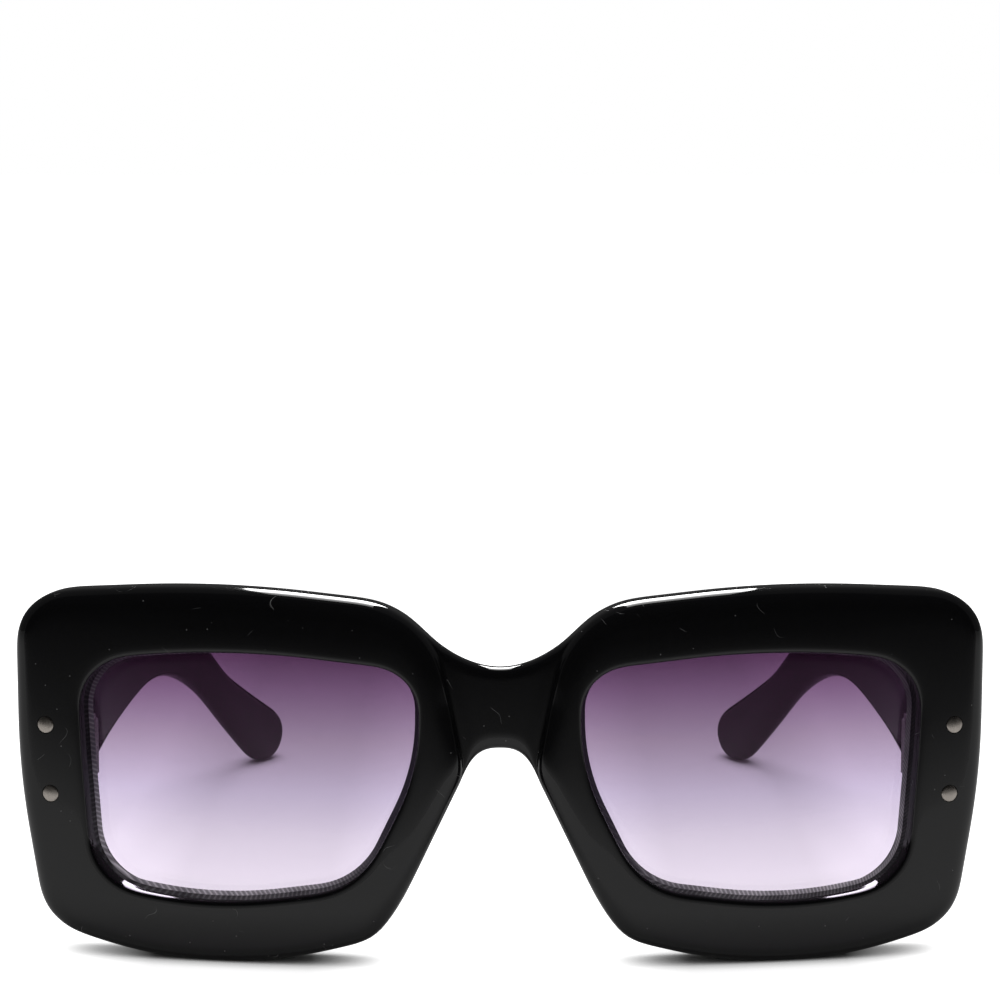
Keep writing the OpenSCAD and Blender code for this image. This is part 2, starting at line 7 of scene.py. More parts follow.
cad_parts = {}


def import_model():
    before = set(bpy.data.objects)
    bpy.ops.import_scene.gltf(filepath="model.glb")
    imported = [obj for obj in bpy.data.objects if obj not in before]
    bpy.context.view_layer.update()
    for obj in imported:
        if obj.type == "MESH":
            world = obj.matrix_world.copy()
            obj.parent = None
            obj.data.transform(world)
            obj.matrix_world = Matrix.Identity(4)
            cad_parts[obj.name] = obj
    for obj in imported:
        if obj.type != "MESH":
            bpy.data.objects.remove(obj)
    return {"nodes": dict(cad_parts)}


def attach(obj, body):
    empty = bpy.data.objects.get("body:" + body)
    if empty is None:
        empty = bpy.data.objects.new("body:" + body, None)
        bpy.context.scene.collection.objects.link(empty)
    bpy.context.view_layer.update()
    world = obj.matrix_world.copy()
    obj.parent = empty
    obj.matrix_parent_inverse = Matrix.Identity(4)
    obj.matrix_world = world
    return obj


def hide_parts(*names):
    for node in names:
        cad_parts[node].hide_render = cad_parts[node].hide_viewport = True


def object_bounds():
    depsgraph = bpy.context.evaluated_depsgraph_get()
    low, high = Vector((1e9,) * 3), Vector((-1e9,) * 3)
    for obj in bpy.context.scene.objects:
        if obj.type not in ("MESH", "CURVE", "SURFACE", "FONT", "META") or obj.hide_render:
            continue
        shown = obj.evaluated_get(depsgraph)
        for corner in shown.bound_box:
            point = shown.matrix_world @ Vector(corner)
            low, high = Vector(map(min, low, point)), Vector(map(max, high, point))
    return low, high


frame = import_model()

CAD_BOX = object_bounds()
MM = 0.001

# Sizes are in millimetres, measured from the rims' front face. x is to the left-hand side of the
# wearer, y runs back from the front face, and z = 0 is the table.

# How far the middle of the whole object lies behind the front face
MIDDLE_Y = 72.0989
# The front's curve seen from above, and its thickness
FRONT_R = 284
RIM_T = 7.2
# Left, bottom, width and height of the rim's outline and of the lens opening
RIM_BOX = (5.3, -0.12, 69.2, 58.22)
LENS_BOX = (12.45, 9.6, 51.65, 38.35)
# Corners of the two outlines as shares of these boxes, with the rounding as a share of the height
RIM_CORNERS = [
    (0.56, -0.043, 1.19), (0.9465, 0.0735, 0.155), (1.001, 0.478, 1.89), (1.001, 0.964, 0.142),
    (0.545, 1.003, 2.75), (0.075, 0.947, 0.252), (-0.002, 0.517, 0.138), (0.1765, 0.071, 0.165)]
LENS_CORNERS = [
    (0.61, -0.025, 1.7), (0.967, 0.051, 0.235), (0.993, 0.545, 1.53), (1.006, 0.949, 0.225),
    (0.562, 1.02, 3.1), (-0.004, 0.94, 0.185), (-0.002, 0.539, 0.814), (0.172, 0.061, 0.33)]
# Steps of an outline's corner and of the straight after it, and of a length that is spaced evenly
ARC_STEPS = 28
SIDE_STEPS = 12
CORNER_STEPS = ARC_STEPS + SIDE_STEPS
FINE_STEPS = 400
# Where the bridge joins the rim's outline
BRIDGE_FROM = 5 * CORNER_STEPS + 16
BRIDGE_TO = 6 * CORNER_STEPS + ARC_STEPS
ZONE_STEPS = 12
# Places where the two outlines' corners face each other, and the steps between them
PAIRED = [(BRIDGE_TO, 4), (294, 8), (334, 9), (374, 10), (414, 10), (454, 9), (494, 12)]

# The lens's groove: how far it goes into the rim, and the depths of its sides
LENS_BITE = 0.7
GROOVE_FRONT = 4.2
GROOVE_BACK = 6.36
# The lens in it, with its play at the edge, its ground bevel and the small bevel behind
LENS_FRONT = 4.28
LENS_T = 2.0
LENS_PLAY = 0.08
BEVEL_IN = 0.75
BEVEL_D = 0.75
BACK_BEVEL = 0.3
# The rim's rounded front edge, and the depths at which its wall is widest
EDGE_W = 3.2
EDGE_D = 2.4
WALL_MID = 3.9
WALL_BACK = 5.7

# The bridge: its underside and height in the middle, the depths of its faces, its own rounding,
# and the length over which it runs into the rim
BRIDGE_LOW = 33.35
BRIDGE_H = 12.3
BRIDGE_SET = 2.5
BRIDGE_BACK = 6.2
BRIDGE_R = 1.2
BRIDGE_BLEND = 2.4
# The nose pad: how far it stands out behind, its middle's height, its own height and its lean
PAD_OUT = 7.5
PAD_Z = 18
PAD_H = 23
PAD_LEAN = 2.6

# The temple: its outer face at the front, thickness, curve seen from above, splay, and the seam
# between it and the front
TEMPLE_X = 70
TEMPLE_T = 4.2
TEMPLE_R = 262
TEMPLE_SPLAY = math.radians(4)
SEAM = 0.2
# Over this length its front end is fitted to the front's curved back
FRONT_END_RUN = 8
# Its edges get rounder from one place towards the tip
TEMPLE_EDGE = 1.1
TAIL_ROUND = 0.75
TAIL_ROUND_FROM = 50
TAIL_ROUND_RUN = 50
# Its side profile: its heights at the front, how far it runs on there before it is cut off, its
# two bends, and its tail with the neck and the round tip
TEMPLE_LOW = 17.8
TEMPLE_HIGH = 42.4
AHEAD = -6
LOW_BEND = (85.3, 29.1)
LOW_BEND_R = 54
HIGH_BEND_Z = 38
HIGH_BEND_R = 45
TAIL_DROP = math.radians(39.4)
TIP_R = 5.2
TIP_ROUND = 0.97
NECK_W = 6.8
TIP_SWELL = 23
# Where the tail begins that is set down on the table, and the length over which that grows
TAIL_FROM = 85
TAIL_RUN = 30

# The hinge's axis: its height, and its distances inside the temple and behind the front
HINGE_Z = 30.4
HINGE_IN = 1.75
HINGE_BACK = 3.5
# The leaves' pockets: depth, half heights, and reaches to both sides
POCKET_D = 1.03
FRONT_LEAF_X = 69.4
FRONT_POCKET_HALF = 7.43
FRONT_POCKET_IN = 4.33
FRONT_POCKET_OUT = 3.13
TEMPLE_POCKET_HALF = 3.83
TEMPLE_POCKET_AHEAD = 0.93
TEMPLE_POCKET_L = 14.46

# The rivets: places, heads, shanks and bores
FRONT_RIVET_X = 69.05
FRONT_RIVET_Z = 30.5
FRONT_RIVET_GAP = 10.7
FRONT_RIVET_LEAN = 0.6
TEMPLE_RIVET_REACH = 11.9
TEMPLE_RIVET_GAP = 5.3
TEMPLE_RIVET_Z = 29.8
HEAD_R = 1.3
HEAD_T = 0.7
DOME = 0.22
SHANK_R = 0.7
SHANK_SHORT = 1
BORE_R = 1.36
BORE_D = 0.75
# How far a cutter reaches past the face that it cuts
CUT_PAST = 1

ROUND_STEPS = 48
SMOOTH_LEVELS = 2
SHARP_FROM = math.radians(38)
WHITE = (1, 1, 1, 1)

# The camera of the photograph: place in metres, tilt in degrees, and lens
CAMERA_PLACE = (0, -0.520044, 0.136971)
CAMERA_DOWN = 8.284
CAMERA_LENS = 110.09
SENSOR_W = 36


# Outlines
def arc(a, b, c, radius):
    """The arc that rounds the corner b between a and c."""
    u = (a - b).normalized()
    v = (c - b).normalized()
    half = math.acos(u.dot(v)) / 2
    centre = b + (u + v).normalized() * radius / math.sin(half)
    start = b + u * radius / math.tan(half) - centre
    stop = b + v * radius / math.tan(half) - centre
    sweep = math.copysign(math.pi - 2 * half, start.x * stop.y - start.y * stop.x)
    return [centre + Matrix.Rotation(sweep * k / ARC_STEPS, 2) @ start for k in range(ARC_STEPS + 1)]


def rounded(corners):
    """A closed line through rounded corners, each a place and a radius."""
    count = len(corners)
    arcs = [arc(corners[i - 1][0], corners[i][0], corners[(i + 1) % count][0], corners[i][1])
            for i in range(count)]
    line = []
    for i in range(count):
        line += arcs[i]
        after = arcs[(i + 1) % count][0]
        line += [arcs[i][-1].lerp(after, k / SIDE_STEPS) for k in range(1, SIDE_STEPS)]
    return line


def boxed(shares, box):
    """Corners given as shares of a box, in millimetres."""
    x, z, width, height = box
    return [(Vector((x + a * width, z + b * height)), r * height) for a, b, r in shares]


def at(line, place):
    """A point of a closed line at a place counted in its points."""
    low = math.floor(place)
    return line[low % len(line)].lerp(line[(low + 1) % len(line)], place - low)


def outward(line, place):
    """The unit normal that points out of a closed line."""
    along = (at(line, place + 1.5) - at(line, place - 1.5)).normalized()
    return Vector((along.y, -along.x))


def even(line, start, stop, steps):
    """Places from start to stop that lie evenly along the line."""
    fine = [start + (stop - start) * k / FINE_STEPS for k in range(FINE_STEPS + 1)]
    lengths = [0]
    for a, b in zip(fine, fine[1:]):
        lengths.append(lengths[-1] + (at(line, b) - at(line, a)).length)
    places = []
    k = 0
    for n in range(steps + 1):
        goal = lengths[-1] * n / steps
        while k < FINE_STEPS - 1 and lengths[k + 1] < goal:
            k += 1
        share = (goal - lengths[k]) / (lengths[k + 1] - lengths[k])
        places.append(fine[k] + (fine[k + 1] - fine[k]) * share)
    return places


def spaced(line):
    """The columns of the rim's grid as places of one outline. The first ones are the bridge's."""
    places = even(line, BRIDGE_FROM, BRIDGE_TO, ZONE_STEPS)
    stops = [start for start, steps in PAIRED[1:]] + [BRIDGE_FROM + len(line)]
    for (start, steps), stop in zip(PAIRED, stops):
        places += even(line, start, stop, steps)[1:]
    return places[:-1]


def ramp(value, low, run):
    """0 up to low, 1 from low + run on, and evenly between them."""
    return min(max((value - low) / run, 0), 1)


RIM_LINE = rounded(boxed(RIM_CORNERS, RIM_BOX))
LENS_LINE = rounded(boxed(LENS_CORNERS, LENS_BOX))
RIM_PLACES = spaced(RIM_LINE)
LENS_PLACES = spaced(LENS_LINE)


# Places in the frame, in metres
def on_front(x, z, depth):
    """A point at x and z of the front's face, taken to a depth below it."""
    turn = math.asin(x / FRONT_R)
    radius = FRONT_R - depth
    y = FRONT_R - radius * math.cos(turn)
    return Vector((radius * math.sin(turn), y - MIDDLE_Y, z)) * MM


def back_y(x):
    """How far back the front's back is at x, in millimetres."""
    return FRONT_R - math.sqrt((FRONT_R - RIM_T) ** 2 - x ** 2)


# The temple's front end, and the middle of its curve
ROOT_Y = back_y(TEMPLE_X) + SEAM
ARC_X = TEMPLE_X - TEMPLE_R * math.cos(TEMPLE_SPLAY)
ARC_Y = ROOT_Y + TEMPLE_R * math.sin(TEMPLE_SPLAY)


def on_temple(y, z, depth):
    """A point of the left temple at y behind its front end, at a depth below its outer face."""
    x = ARC_X + math.sqrt((TEMPLE_R - depth) ** 2 - (ROOT_Y + y - ARC_Y) ** 2)
    front_end = back_y(x) - back_y(TEMPLE_X)
    y += front_end * max(0, 1 - y / FRONT_END_RUN)
    return Vector((x, ROOT_Y + y - MIDDLE_Y, z)) * MM


def at_front(x):
    """The place on the front's face at x: its Y points into the front."""
    turn = Matrix.Rotation(math.asin(x / FRONT_R), 4, "Z")
    axis = Vector((0, FRONT_R - MIDDLE_Y, 0)) * MM
    return Matrix.Translation(axis) @ turn @ Matrix.Translation(Vector((0, -FRONT_R * MM, 0)))


def at_temple(reach):
    """The place on the left temple's outer face at a reach behind its front end."""
    turn = Matrix.Rotation(reach / TEMPLE_R - TEMPLE_SPLAY, 4, "Z")
    axis = Vector((ARC_X, ARC_Y - MIDDLE_Y, 0)) * MM
    return Matrix.Translation(axis) @ turn @ Matrix.Translation(Vector((TEMPLE_R * MM, 0, 0)))


def sided(side):
    """The left side for 1, and its mirror image for -1."""
    return Matrix.Diagonal((side, 1, 1, 1))


# Meshes
def laid_grid(bm, columns, rows, place, sharp=()):
    """A grid of columns by rows steps, each vertex put at place(column, row)."""
    scale = Matrix.Diagonal((columns / 2, rows / 2, 1, 1))
    middle = Matrix.Translation(Vector((columns / 2, rows / 2, 0)))
    made = bmesh.ops.create_grid(bm, x_segments=columns, y_segments=rows, size=1, matrix=middle @ scale)
    spots = {v: (round(v.co.x), round(v.co.y)) for v in made["verts"]}
    crease = bm.edges.layers.float.get("crease_edge") or bm.edges.layers.float.new("crease_edge")
    for edge in {e for v in spots for e in v.link_edges}:
        a, b = (spots[v][1] for v in edge.verts)
        if a == b and a in sharp:
            edge[crease] = 1
    for v, (column, row) in spots.items():
        v.co = place(column, row)
    return spots


def object_from(bm, name):
    mesh = bpy.data.meshes.new(name)
    bm.to_mesh(mesh)
    bm.free()
    piece = bpy.data.objects.new(name, mesh)
    bpy.context.scene.collection.objects.link(piece)
    return piece


def settle(piece):
    """Applies a piece's modifiers."""
    seen = piece.evaluated_get(bpy.context.evaluated_depsgraph_get())
    mesh = bpy.data.meshes.new_from_object(seen)
    piece.modifiers.clear()
    piece.data = mesh


def subdivide(piece):
    step = piece.modifiers.new("smooth", "SUBSURF")
    step.levels = SMOOTH_LEVELS
    step.render_levels = SMOOTH_LEVELS
    settle(piece)


def cut(piece, cutters):
    """Takes the cutters out of a piece."""
    bmesh.ops.recalc_face_normals(cutters, faces=cutters.faces[:])
    tool = object_from(cutters, piece.name + "_cutter")
    step = piece.modifiers.new("cut", "BOOLEAN")
    step.operation = "DIFFERENCE"
    step.solver = "EXACT"
    step.object = tool
    settle(piece)
    bpy.data.objects.remove(tool)


def finished(piece, materials, body, nodes):
    for face in piece.data.polygons:
        face.use_smooth = True
    piece.data.set_sharp_from_angle(angle=SHARP_FROM)
    for made in materials:
        piece.data.materials.append(made)
    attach(piece, body)
    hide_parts(*nodes)


def rivet_bore(bm, place):
    """A round cutter for a rivet's head, along the place's Y."""
    middle = Matrix.Translation(Vector((0, (BORE_D - CUT_PAST) / 2, 0)) * MM)
    upright = Matrix.Rotation(math.pi / 2, 4, "X")
    bmesh.ops.create_cone(
        bm, cap_ends=True, segments=ROUND_STEPS, radius1=BORE_R * MM, radius2=BORE_R * MM,
        depth=(BORE_D + CUT_PAST) * MM, matrix=place @ middle @ upright)


def pocket(bm, place, low, high):
    """A box cutter between two corners."""
    size = [(b - a) * MM for a, b in zip(low, high)]
    middle = Vector([(a + b) / 2 * MM for a, b in zip(low, high)])
    box = Matrix.Translation(middle) @ Matrix.Diagonal((*size, 1))
    bmesh.ops.create_cube(bm, size=1, matrix=place @ box)


def edge_row(turn, width, depth):
    """A row on a rounded edge: its distance inside the outline and its depth."""
    return width * (1 - math.sin(turn)), depth * (1 - math.cos(turn))


# The rim's section as rows of distance, depth and the nose pad's share. The first rows are
# measured outwards from the lens opening, the others inwards from the outline.
INNER_ROWS = [
    (1.5, RIM_T, 0.2), (0.85, RIM_T, 0.05), (0.5, RIM_T - 0.25, 0), (0.1, GROOVE_BACK, 0),
    (LENS_BITE, GROOVE_BACK, 0), (LENS_BITE, GROOVE_FRONT, 0), (0, GROOVE_FRONT, 0),
    (0, 3.3, 0), (0, 1.7, 0), (0, 0.8, 0), (0.12, 0.16, 0), (0.8, 0, 0)]
GROOVE_ROWS = (3, 4, 5, 6)
OUTER_ROWS = [
    (*edge_row(turn, EDGE_W, EDGE_D), 0)
    for turn in (0, math.pi / 8, math.pi / 4, math.pi * 3 / 8, math.pi / 2)
] + [
    (0, WALL_MID, 0.5), (0, WALL_BACK, 1), (0.42, RIM_T - 0.42, 1.06), (1.5, RIM_T, 1.08),
    (2.9, RIM_T, 0.98), (4.3, RIM_T, 0.62)]
ROWS = INNER_ROWS + OUTER_ROWS
# The wall's three rows, which the bridge takes over
WALL_FIRST = len(INNER_ROWS) + 4
WALL_LAST = WALL_FIRST + 2
# The bridge's columns from the rim to the middle, and the rows round its section
BRIDGE_SHARES = (1, 0.95, 0.89, 0.82, 0.74, 0.62, 0.47, 0.3, 0.14, 0)
BRIDGE_ROWS = 2 * ZONE_STEPS + 4


# The front
def pad_share(column):
    """How much of the nose pad a column of the rim has."""
    off = abs(at(RIM_LINE, RIM_PLACES[column]).y - PAD_Z) / (PAD_H / 2)
    if column <= ZONE_STEPS or RIM_PLACES[column] > len(RIM_LINE) or off >= 1:
        return 0
    return math.cos(math.pi / 2 * off) ** 2


def bridge_share(column):
    """How far the rim's edge runs out softly into the bridge instead of rounding over."""
    return max(min(column, ZONE_STEPS - column), 0) / ZONE_STEPS


def rim_point(column, row):
    column %= len(RIM_PLACES)
    row %= len(ROWS)
    distance, depth, share = ROWS[row]
    pad = pad_share(column) * share
    if row < len(INNER_ROWS):
        place = LENS_PLACES[column]
        p = at(LENS_LINE, place) + outward(LENS_LINE, place) * distance
    else:
        place = RIM_PLACES[column]
        p = at(RIM_LINE, place) - outward(RIM_LINE, place) * (distance + PAD_LEAN * pad)
        if row < WALL_FIRST:
            across = 1 - distance / EDGE_W
            soft = EDGE_D * across ** 2 * (3 - 2 * across)
            depth += (soft - depth) * bridge_share(column)
    return on_front(p.x, p.y, depth + PAD_OUT * pad)


def bridge_top(x):
    edge = at(RIM_LINE, BRIDGE_FROM)
    middle = BRIDGE_LOW + BRIDGE_H
    return middle + (edge.y - middle) * (x / edge.x) ** 2


def bridge_low(x):
    edge = at(RIM_LINE, BRIDGE_TO)
    return BRIDGE_LOW + (edge.y - BRIDGE_LOW) * abs(x / edge.x) ** 3


def round_off(distance):
    """How far the rounding of the bridge's edge sinks its face at a distance from the edge."""
    if distance >= BRIDGE_R:
        return 0
    return BRIDGE_R - math.sqrt(BRIDGE_R ** 2 - (BRIDGE_R - max(distance, 0)) ** 2)


def bridge_face(station, share_x, front):
    """A point of the bridge's front or back, between a station of the rim and the middle."""
    p = at(RIM_LINE, RIM_PLACES[station])
    share = (p.y - bridge_low(p.x)) / (bridge_top(p.x) - bridge_low(p.x))
    x = p.x * share_x
    z = bridge_low(x) + (bridge_top(x) - bridge_low(x)) * share
    blend = math.sin(math.pi / 2 * min((p.x - x) / BRIDGE_BLEND, 1)) ** 2
    sunk = round_off(bridge_top(x) - z) + round_off(z - bridge_low(x))
    if front:
        return on_front(x, z, EDGE_D + (BRIDGE_SET - EDGE_D + sunk) * blend)
    return on_front(x, z, WALL_BACK + (BRIDGE_BACK - WALL_BACK - sunk) * blend)


def bridge_point(column, row):
    """A point of the bridge's skin: the rows run down its front and up its back."""
    share_x = BRIDGE_SHARES[column]
    row %= BRIDGE_ROWS
    if row <= ZONE_STEPS:
        return bridge_face(row, share_x, True)
    if row not in (ZONE_STEPS + 1, BRIDGE_ROWS - 1):
        return bridge_face(2 * ZONE_STEPS + 2 - row, share_x, False)
    station = ZONE_STEPS if row == ZONE_STEPS + 1 else 0
    if column == 0:
        return rim_point(station, WALL_FIRST + 1)
    return bridge_face(station, share_x, True).lerp(bridge_face(station, share_x, False), 0.5)


def front_skin():
    """Both rims and the bridge between them as one closed skin."""
    bm = bmesh.new()
    spots = laid_grid(bm, len(RIM_PLACES), len(ROWS), rim_point, GROOVE_ROWS)
    taken = [face for face in bm.faces if all(
        spots[v][0] <= ZONE_STEPS and WALL_FIRST <= spots[v][1] <= WALL_LAST for v in face.verts)]
    bmesh.ops.delete(bm, geom=taken, context="FACES")
    laid_grid(bm, len(BRIDGE_SHARES) - 1, BRIDGE_ROWS, bridge_point)
    bmesh.ops.remove_doubles(bm, verts=bm.verts[:], dist=1e-6)
    bmesh.ops.mirror(bm, geom=bm.verts[:] + bm.edges[:] + bm.faces[:], axis="X", merge_dist=1e-6)
    bmesh.ops.recalc_face_normals(bm, faces=bm.faces[:])
    return bm


def front_piece():
    piece = object_from(front_skin(), "front")
    subdivide(piece)
    for v in piece.data.vertices:
        v.co.z = max(v.co.z, 0)
    cutters = bmesh.new()
    for side in (1, -1):
        for level in (1, -1):
            rivet_bore(cutters, front_rivet_place(side, level))
        pocket(cutters, sided(side) @ at_front(FRONT_LEAF_X),
               (-FRONT_POCKET_IN, RIM_T - POCKET_D, HINGE_Z - FRONT_POCKET_HALF),
               (FRONT_POCKET_OUT, RIM_T + CUT_PAST, HINGE_Z + FRONT_POCKET_HALF))
    cut(piece, cutters)
    return piece


# The lenses
LENS_COLUMNS = 132
LENS_RINGS = 14
LENS_MIDDLE = Vector((37.8, 29.2))
LENS_COLUMN_PLACES = even(LENS_LINE, 0, len(LENS_LINE), LENS_COLUMNS)
# The ground bevel lies between these rows
GROUND_ROWS = (LENS_RINGS, LENS_RINGS + 1)


def lens_rows():
    """Rows from the middle of the front face round the edge to the middle of the back: the share
    of the way from the middle to the outline, the distance beyond the outline, and the depth."""
    face = [(k / LENS_RINGS, -BEVEL_IN * k / LENS_RINGS) for k in range(LENS_RINGS + 1)]
    rim = LENS_BITE - LENS_PLAY
    front = [(share, distance, 0) for share, distance in face]
    edge = [(1, rim, BEVEL_D), (1, rim, LENS_T - BACK_BEVEL)]
    back = [(share, distance + rim * share, LENS_T) for share, distance in reversed(face)]
    return front + edge + back


LENS_ROWS = lens_rows()


def lens_point(column, row):
    place = LENS_COLUMN_PLACES[column % LENS_COLUMNS]
    share, distance, depth = LENS_ROWS[row]
    p = LENS_MIDDLE.lerp(at(LENS_LINE, place), share) + outward(LENS_LINE, place) * distance
    return on_front(p.x, p.y, LENS_FRONT + depth)


def lens_piece(side, name):
    """A lens whose ground bevel takes the second material."""
    bm = bmesh.new()
    spots = laid_grid(bm, LENS_COLUMNS, len(LENS_ROWS) - 1, lens_point)
    for face in bm.faces:
        face.material_index = int(all(spots[v][1] in GROUND_ROWS for v in face.verts))
    bmesh.ops.remove_doubles(bm, verts=bm.verts[:], dist=1e-7)
    bmesh.ops.transform(bm, matrix=sided(side), verts=bm.verts[:])
    bmesh.ops.recalc_face_normals(bm, faces=bm.faces[:])
    return object_from(bm, name)


# The temples
def temple_corners():
    """Corners of the temple's side profile: y from its front end with z, and the rounding."""
    along = Vector((math.cos(TAIL_DROP), -math.sin(TAIL_DROP)))
    up = Vector((math.sin(TAIL_DROP), math.cos(TAIL_DROP)))
    low_bend = Vector(LOW_BEND)
    tip_z = TIP_R * (up.y - along.y + (1 - up.y + along.y) * TIP_ROUND)
    run = (low_bend.y - tip_z + TIP_R * up.y) / -along.y
    tip = low_bend + along * run + up * TIP_R
    neck = tip - along * TIP_SWELL + up * (NECK_W - TIP_R)
    high_bend = neck - along * ((neck.y - HIGH_BEND_Z) / along.y)
    return [
        (Vector((AHEAD, TEMPLE_LOW)), 1),
        (low_bend, LOW_BEND_R),
        (tip + along * TIP_R - up * TIP_R, TIP_R * TIP_ROUND),
        (tip + along * TIP_R + up * TIP_R, TIP_R * TIP_ROUND),
        (tip - along * TIP_R * 0.25 + up * TIP_R, TIP_R),
        (neck, TIP_SWELL),
        (high_bend, HIGH_BEND_R),
        (Vector((AHEAD, TEMPLE_HIGH)), 1)]


def first_behind(line, start, step):
    """The first place from start on, in steps, where a line isn't ahead of y = 0."""
    place = start
    while at(line, place).x < 0:
        place += step
    return place


TEMPLE_LINE = rounded(temple_corners())
TEMPLE_SIDE = 46
TEMPLE_START = first_behind(TEMPLE_LINE, ARC_STEPS, 0.01)
TEMPLE_TIP = 2 * CORNER_STEPS + ARC_STEPS + SIDE_STEPS / 2
TEMPLE_END = first_behind(TEMPLE_LINE, 7 * CORNER_STEPS, -0.01)
TEMPLE_PLACES = (even(TEMPLE_LINE, TEMPLE_START, TEMPLE_TIP, TEMPLE_SIDE)
                 + even(TEMPLE_LINE, TEMPLE_TIP, TEMPLE_END, TEMPLE_SIDE)[1:])
TEMPLE_ENDS = (0, len(TEMPLE_PLACES) - 1)
# Rows of distance inside the profile and depth, for the outer face and then for the inner one
TEMPLE_FACE = [(TEMPLE_EDGE + 1, 0), (TEMPLE_EDGE, 0)] + [
    edge_row(turn, TEMPLE_EDGE, TEMPLE_EDGE) for turn in (math.pi / 6, math.pi / 3, math.pi / 2)]
TEMPLE_ROWS = TEMPLE_FACE + [(distance, TEMPLE_T - depth) for distance, depth in reversed(TEMPLE_FACE)]


def temple_point(column, row):
    place = TEMPLE_PLACES[column]
    p = at(TEMPLE_LINE, place)
    normal = outward(TEMPLE_LINE, place)
    distance, depth = TEMPLE_ROWS[row]
    swell = 1 + TAIL_ROUND * ramp(p.x, TAIL_ROUND_FROM, TAIL_ROUND_RUN)
    depth = depth * swell if depth < TEMPLE_T / 2 else TEMPLE_T - (TEMPLE_T - depth) * swell
    if column in TEMPLE_ENDS:
        normal = Vector((0, math.copysign(1, normal.y)))
        p.x = 0
    p -= normal * distance * swell
    return on_temple(p.x, p.y, depth)


def temple_skin(side):
    """A temple's edge, closed by faces across its two sides and its front end."""
    bm = bmesh.new()
    last = len(TEMPLE_ROWS) - 1
    spots = laid_grid(bm, len(TEMPLE_PLACES) - 1, last, temple_point)
    for row in (0, last):
        edges = [e for e in bm.edges if all(v in spots and spots[v][1] == row for v in e.verts)]
        halves = [e for e in edges if min(spots[v][0] for v in e.verts) != TEMPLE_SIDE]
        bmesh.ops.bridge_loops(bm, edges=halves)
    bmesh.ops.holes_fill(bm, edges=bm.edges[:], sides=0)
    crease = bm.edges.layers.float.get("crease_edge")
    for edge in bm.edges:
        if all(spots[v][0] in TEMPLE_ENDS for v in edge.verts):
            edge[crease] = 1
    bmesh.ops.transform(bm, matrix=sided(side), verts=bm.verts[:])
    bmesh.ops.recalc_face_normals(bm, faces=bm.faces[:])
    return bm


def set_down(piece):
    """Puts the tip back on the table and to its reach, which smoothing changes a little."""
    lift = min(v.co.z for v in piece.data.vertices)
    short = CAD_BOX[1][1] - max(v.co.y for v in piece.data.vertices)
    tail_from = (ROOT_Y + TAIL_FROM - MIDDLE_Y) * MM
    for v in piece.data.vertices:
        share = ramp(v.co.y, tail_from, TAIL_RUN * MM)
        v.co.z = max(v.co.z - lift * share, 0)
        v.co.y += short * share


def temple_pocket():
    """Two corners of the pocket of a temple's leaf, seen from the middle of its rivets."""
    hinge_x = TEMPLE_X - TEMPLE_T * math.cos(TEMPLE_SPLAY) - HINGE_IN
    hinge_y = back_y(hinge_x) + HINGE_BACK
    turn = Matrix.Rotation(TEMPLE_SPLAY - TEMPLE_RIVET_REACH / TEMPLE_R, 2)
    axis = turn @ Vector((hinge_x - ARC_X, hinge_y - ARC_Y))
    start = axis.y - TEMPLE_POCKET_AHEAD
    low = (-TEMPLE_T - CUT_PAST, start, TEMPLE_RIVET_Z - TEMPLE_POCKET_HALF)
    high = (POCKET_D - TEMPLE_T, start + TEMPLE_POCKET_L, TEMPLE_RIVET_Z + TEMPLE_POCKET_HALF)
    return low, high


def temple_piece(side, name):
    piece = object_from(temple_skin(side), name)
    subdivide(piece)
    set_down(piece)
    cutters = bmesh.new()
    for order in (-1, 1):
        rivet_bore(cutters, temple_rivet_place(side, order))
    pocket(cutters, sided(side) @ at_temple(TEMPLE_RIVET_REACH), *temple_pocket())
    cut(piece, cutters)
    return piece


# The rivets
def front_rivet_place(side, level):
    spot = Vector((level * FRONT_RIVET_LEAN / 2, 0, FRONT_RIVET_Z + level * FRONT_RIVET_GAP / 2)) * MM
    return sided(side) @ at_front(FRONT_RIVET_X) @ Matrix.Translation(spot)


def temple_rivet_place(side, order):
    spot = Vector((0, order * TEMPLE_RIVET_GAP / 2, TEMPLE_RIVET_Z)) * MM
    turned = Matrix.Translation(spot) @ Matrix.Rotation(math.pi / 2, 4, "Z")
    return sided(side) @ at_temple(TEMPLE_RIVET_REACH) @ turned


def rivet_piece(name, place, depth):
    """A low domed head with a soft rim, on its shank. The head faces the place's -Y."""
    ball = (HEAD_R ** 2 + DOME ** 2) / (2 * DOME)
    profile = [(r, ball - DOME - math.sqrt(ball ** 2 - r ** 2)) for r in (0, 0.2, 0.4, 0.6, 0.8, 1.0, 1.12)]
    profile += [(1.2, -0.005), (1.25, 0.03), (1.285, 0.09), (HEAD_R, 0.18), (HEAD_R, HEAD_T)]
    profile += [(SHANK_R, HEAD_T), (SHANK_R, depth), (0, depth)]
    bm = bmesh.new()
    line = [bm.verts.new(Vector((r, y, 0)) * MM) for r, y in profile]
    edges = [bm.edges.new(pair) for pair in zip(line, line[1:])]
    bmesh.ops.spin(bm, geom=line + edges, cent=(0, 0, 0), axis=(0, 1, 0), angle=math.tau,
                   steps=ROUND_STEPS, use_merge=True)
    bmesh.ops.remove_doubles(bm, verts=bm.verts[:], dist=1e-7)
    bmesh.ops.transform(bm, matrix=place, verts=bm.verts[:])
    bmesh.ops.recalc_face_normals(bm, faces=bm.faces[:])
    return object_from(bm, name)


# Nodes of materials
def material(name):
    made = bpy.data.materials.new(name)
    made.use_nodes = True
    made.node_tree.nodes.clear()
    return made, made.node_tree


